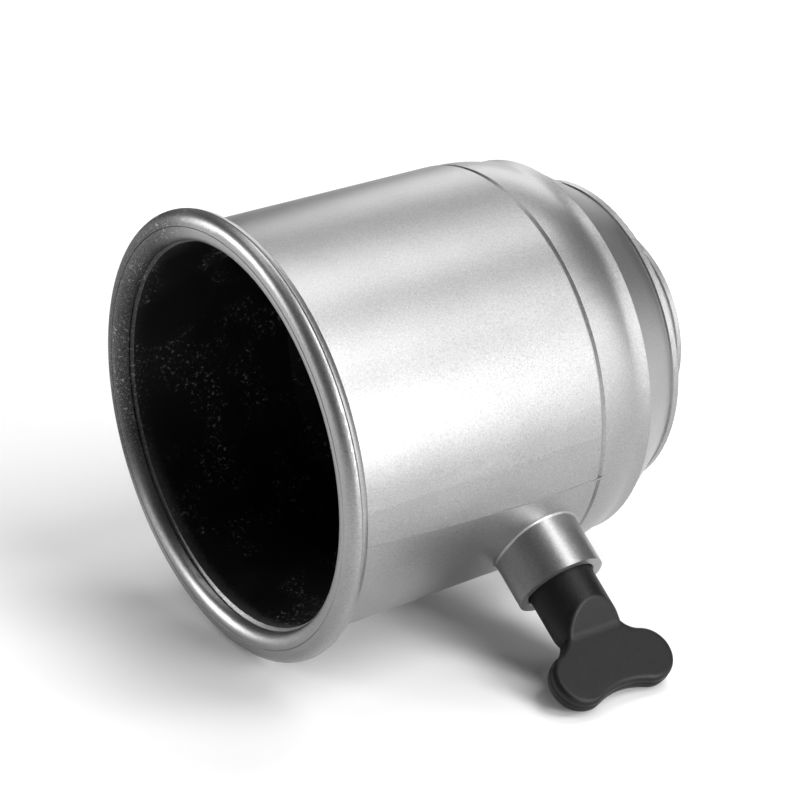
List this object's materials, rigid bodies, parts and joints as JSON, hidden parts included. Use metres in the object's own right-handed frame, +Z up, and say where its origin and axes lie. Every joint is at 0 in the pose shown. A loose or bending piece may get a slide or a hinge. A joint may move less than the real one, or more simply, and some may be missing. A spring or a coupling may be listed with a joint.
{
  "type": "tow ball cover",
  "caption": "Silver-painted moulded cup with a rolled lip and stepped crown that slips over a tow ball, held by a black wing screw in its side.",
  "frame": {"origin": "centre of the 50 mm tow ball when the cover is seated on it, on the cover's axis 56.4 mm in from the mouth", "axes": "-Y out of the open mouth along the cover's axis, +Y towards the closed crown, +Z up with the cover lying on its side, the clamp screw low on the +X side"},
  "size_m": [0.0901, 0.0846, 0.0751],
  "materials": {
    "silver_paint": "satin silver paint over black plastic, bare black inside the bore",
    "black_plastic": "fine matt grain",
    "zinc_steel": "zinc plated",
    "brass": "turned",
    "nylon": "natural nylon"
  },
  "bodies": {
    "cover": {"shell": "silver_paint", "threaded_insert": "brass"},
    "pad": {"thrust_pad": "nylon"},
    "screw": {"wing_knob": "black_plastic", "clamp_stud": "zinc_steel"}
  },
  "joints": [
    {"name": "screw_travel", "type": "slide", "parent": "cover", "child": "pad", "axis": [-0.8192, 0, 0.5736], "range_m": [-0.00051, 0.00601]},
    {"name": "screw_turn", "type": "hinge", "parent": "pad", "child": "screw", "pos_m": [0, -0.01422, 0], "axis": [-0.8192, 0, 0.5736], "range_deg": [-180, 2160]}
  ],
  "couplings": [
    {"joint": "screw_travel", "follows": "screw_turn", "m_per_rad": 0.00015915}
  ]
}
